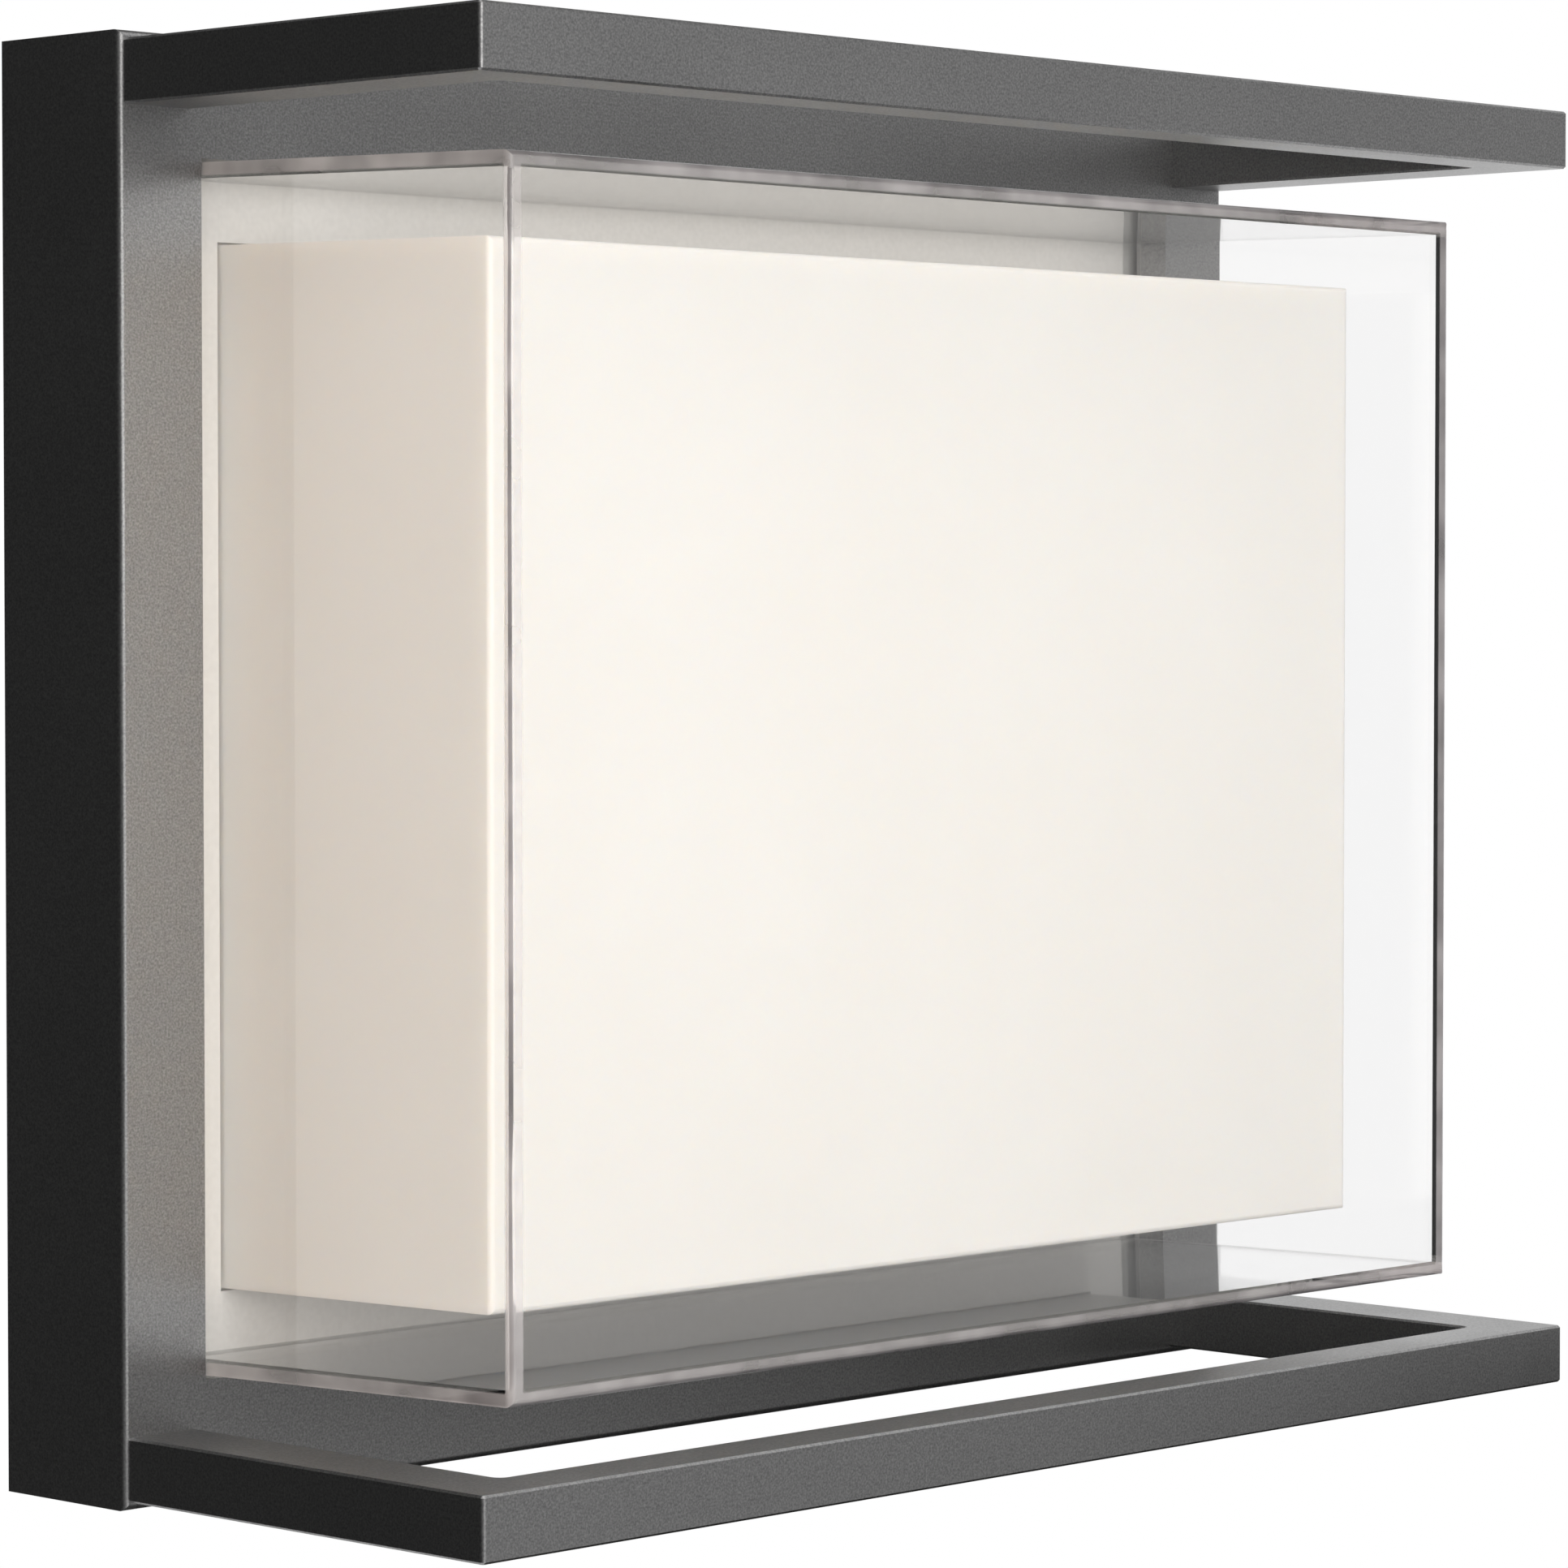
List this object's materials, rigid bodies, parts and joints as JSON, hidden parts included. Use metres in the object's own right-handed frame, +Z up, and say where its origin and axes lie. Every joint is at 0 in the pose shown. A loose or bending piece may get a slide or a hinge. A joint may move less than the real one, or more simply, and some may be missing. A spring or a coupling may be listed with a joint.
{
  "type": "outdoor wall lantern",
  "caption": "Box-shaped outdoor LED wall lantern with a shallow housing, open bar frames, a clear outer cover and an opal inner diffuser, hung on a wall bracket.",
  "frame": {"origin": "centre of the wall bracket's slotted holes, on the wall plane", "axes": "+Y into the wall, +Z up, +X to the right as seen from the front"},
  "size_m": [0.249, 0.1025, 0.215],
  "materials": {
    "graphite_coat": "dark graphite metallic powder coat",
    "clear_acrylic": "clear polished acrylic",
    "opal_acrylic": "warm white opal acrylic",
    "white_coat": "white powder coat",
    "zinc_steel": "zinc plated",
    "dark_steel": "black oxide",
    "green_screw": "green earth screw",
    "carrier_aluminium": "mill finish sheet",
    "board_white": "white solder mask",
    "led_phosphor": "yellow phosphor",
    "white_plastic": "moulded",
    "driver_case": "moulded",
    "black_rubber": "matt",
    "white_silicone": "translucent white silicone",
    "foam": "closed-cell foam",
    "mains_insulation": "lead insulation",
    "board_insulation": "lead insulation"
  },
  "bodies": {
    "bracket": {"wall_bracket": "zinc_steel", "wire_grommet": "black_rubber", "ground_screw": "green_screw"},
    "lantern_head": {"back_housing": "graphite_coat", "wall_seal": "foam", "top_frame": "graphite_coat", "bottom_frame": "graphite_coat", "frame_screws": "zinc_steel", "cover_gasket": "white_silicone", "clear_cover": "clear_acrylic", "reflector_plate": "white_coat", "reflector_screws": "zinc_steel", "opal_diffuser": "opal_acrylic", "led_carrier": "carrier_aluminium", "carrier_screws": "zinc_steel", "led_board": "board_white", "leds": "led_phosphor", "board_connector": "white_plastic", "board_screws": "zinc_steel", "led_driver": "driver_case", "driver_screws": "zinc_steel", "terminal_block": "white_plastic", "terminal_screws": "zinc_steel", "lead_grommet": "black_rubber", "mains_leads": "mains_insulation", "board_leads": "board_insulation"},
    "lock_screw_left": {"lock_screw_left": "dark_steel"},
    "lock_screw_right": {"lock_screw_right": "dark_steel"}
  },
  "joints": [
    {"name": "head_pull", "type": "slide", "parent": "bracket", "child": "lantern_head", "axis": [0, -1, 0], "range_m": [0, 0.05]},
    {"name": "left_lock", "type": "slide", "parent": "lantern_head", "child": "lock_screw_left", "axis": [0, 0, -1], "range_m": [0, 0.003]},
    {"name": "right_lock", "type": "slide", "parent": "lantern_head", "child": "lock_screw_right", "axis": [0, 0, -1], "range_m": [0, 0.003]}
  ]
}
